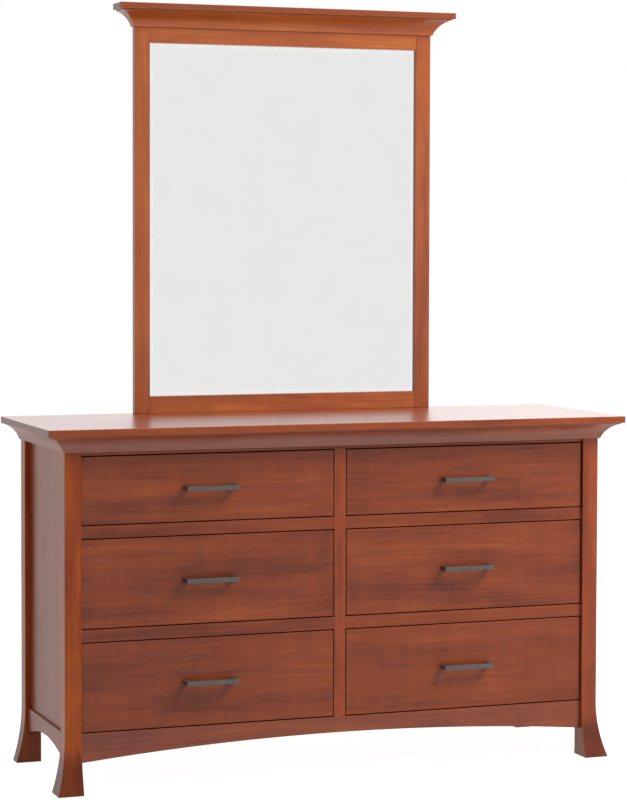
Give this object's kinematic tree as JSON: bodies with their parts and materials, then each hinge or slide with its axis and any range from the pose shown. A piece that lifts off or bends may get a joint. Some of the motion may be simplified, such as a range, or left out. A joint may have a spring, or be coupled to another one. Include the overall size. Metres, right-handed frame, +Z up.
{
  "type": "dresser with mirror",
  "caption": "Wide wooden dresser with drawers on telescopic slides, flared feet and a cove crown, carrying a tall framed mirror under a matching crown and cap.",
  "frame": {"origin": "on the floor, under the middle of the whole object's width and depth", "axes": "+Z up, front towards -Y, +X to the right for someone facing the front"},
  "size_m": [1.6, 0.539, 2.04],
  "materials": {
    "stained_wood": "red-brown stained hardwood under satin lacquer",
    "drawer_wood": "clear-finished maple",
    "panel_wood": "stained plywood",
    "frame_wood": "stained hardwood",
    "mirror_glass": "bevelled silvered glass",
    "pull_metal": "dark satin bronze",
    "slide_steel": "zinc-plated steel"
  },
  "bodies": {
    "case": {"back_panel": "panel_wood", "bottom_panel": "panel_wood", "carcass_rails": "frame_wood", "centre_partition": "panel_wood", "centre_stile": "stained_wood", "crown_front": "stained_wood", "crown_sides": "stained_wood", "drawer_rails": "stained_wood", "front_apron": "stained_wood", "front_left_post": "stained_wood", "front_right_post": "stained_wood", "front_top_rail": "stained_wood", "left_side_apron": "stained_wood", "left_side_panel": "stained_wood", "mirror_backing": "panel_wood", "mirror_bottom_rail": "stained_wood", "mirror_cap": "stained_wood", "mirror_crown": "stained_wood", "mirror_glass": "mirror_glass", "mirror_left_stile": "stained_wood", "mirror_right_stile": "stained_wood", "mirror_supports": "frame_wood", "mirror_top_rail": "stained_wood", "rear_left_post": "stained_wood", "rear_right_post": "stained_wood", "right_side_apron": "stained_wood", "right_side_panel": "stained_wood", "slide_channels": "slide_steel", "slide_packers": "frame_wood", "top_slab": "stained_wood"},
    "upper_left_drawer": {"upper_left_drawer_front": "stained_wood", "upper_left_drawer_box": "drawer_wood", "upper_left_pull": "pull_metal", "upper_left_slide_runners": "slide_steel"},
    "upper_left_carriages": {"upper_left_slide_carriages": "slide_steel"},
    "upper_right_drawer": {"upper_right_drawer_front": "stained_wood", "upper_right_drawer_box": "drawer_wood", "upper_right_pull": "pull_metal", "upper_right_slide_runners": "slide_steel"},
    "upper_right_carriages": {"upper_right_slide_carriages": "slide_steel"},
    "middle_left_drawer": {"middle_left_drawer_front": "stained_wood", "middle_left_drawer_box": "drawer_wood", "middle_left_pull": "pull_metal", "middle_left_slide_runners": "slide_steel"},
    "middle_left_carriages": {"middle_left_slide_carriages": "slide_steel"},
    "middle_right_drawer": {"middle_right_drawer_front": "stained_wood", "middle_right_drawer_box": "drawer_wood", "middle_right_pull": "pull_metal", "middle_right_slide_runners": "slide_steel"},
    "middle_right_carriages": {"middle_right_slide_carriages": "slide_steel"},
    "lower_left_drawer": {"lower_left_drawer_front": "stained_wood", "lower_left_drawer_box": "drawer_wood", "lower_left_pull": "pull_metal", "lower_left_slide_runners": "slide_steel"},
    "lower_left_carriages": {"lower_left_slide_carriages": "slide_steel"},
    "lower_right_drawer": {"lower_right_drawer_front": "stained_wood", "lower_right_drawer_box": "drawer_wood", "lower_right_pull": "pull_metal", "lower_right_slide_runners": "slide_steel"},
    "lower_right_carriages": {"lower_right_slide_carriages": "slide_steel"}
  },
  "joints": [
    {"name": "upper_left_drawer_slide", "type": "slide", "parent": "case", "child": "upper_left_drawer", "axis": [0, -1, 0], "range_m": [0, 0.406]},
    {"name": "upper_left_carriage_slide", "type": "slide", "parent": "case", "child": "upper_left_carriages", "axis": [0, -1, 0], "range_m": [0, 0.203]},
    {"name": "upper_right_drawer_slide", "type": "slide", "parent": "case", "child": "upper_right_drawer", "axis": [0, -1, 0], "range_m": [0, 0.406]},
    {"name": "upper_right_carriage_slide", "type": "slide", "parent": "case", "child": "upper_right_carriages", "axis": [0, -1, 0], "range_m": [0, 0.203]},
    {"name": "middle_left_drawer_slide", "type": "slide", "parent": "case", "child": "middle_left_drawer", "axis": [0, -1, 0], "range_m": [0, 0.406]},
    {"name": "middle_left_carriage_slide", "type": "slide", "parent": "case", "child": "middle_left_carriages", "axis": [0, -1, 0], "range_m": [0, 0.203]},
    {"name": "middle_right_drawer_slide", "type": "slide", "parent": "case", "child": "middle_right_drawer", "axis": [0, -1, 0], "range_m": [0, 0.406]},
    {"name": "middle_right_carriage_slide", "type": "slide", "parent": "case", "child": "middle_right_carriages", "axis": [0, -1, 0], "range_m": [0, 0.203]},
    {"name": "lower_left_drawer_slide", "type": "slide", "parent": "case", "child": "lower_left_drawer", "axis": [0, -1, 0], "range_m": [0, 0.406]},
    {"name": "lower_left_carriage_slide", "type": "slide", "parent": "case", "child": "lower_left_carriages", "axis": [0, -1, 0], "range_m": [0, 0.203]},
    {"name": "lower_right_drawer_slide", "type": "slide", "parent": "case", "child": "lower_right_drawer", "axis": [0, -1, 0], "range_m": [0, 0.406]},
    {"name": "lower_right_carriage_slide", "type": "slide", "parent": "case", "child": "lower_right_carriages", "axis": [0, -1, 0], "range_m": [0, 0.203]}
  ],
  "couplings": [
    {"joint": "upper_left_carriage_slide", "follows": "upper_left_drawer_slide", "ratio": 0.5},
    {"joint": "upper_right_carriage_slide", "follows": "upper_right_drawer_slide", "ratio": 0.5},
    {"joint": "middle_left_carriage_slide", "follows": "middle_left_drawer_slide", "ratio": 0.5},
    {"joint": "middle_right_carriage_slide", "follows": "middle_right_drawer_slide", "ratio": 0.5},
    {"joint": "lower_left_carriage_slide", "follows": "lower_left_drawer_slide", "ratio": 0.5},
    {"joint": "lower_right_carriage_slide", "follows": "lower_right_drawer_slide", "ratio": 0.5}
  ]
}
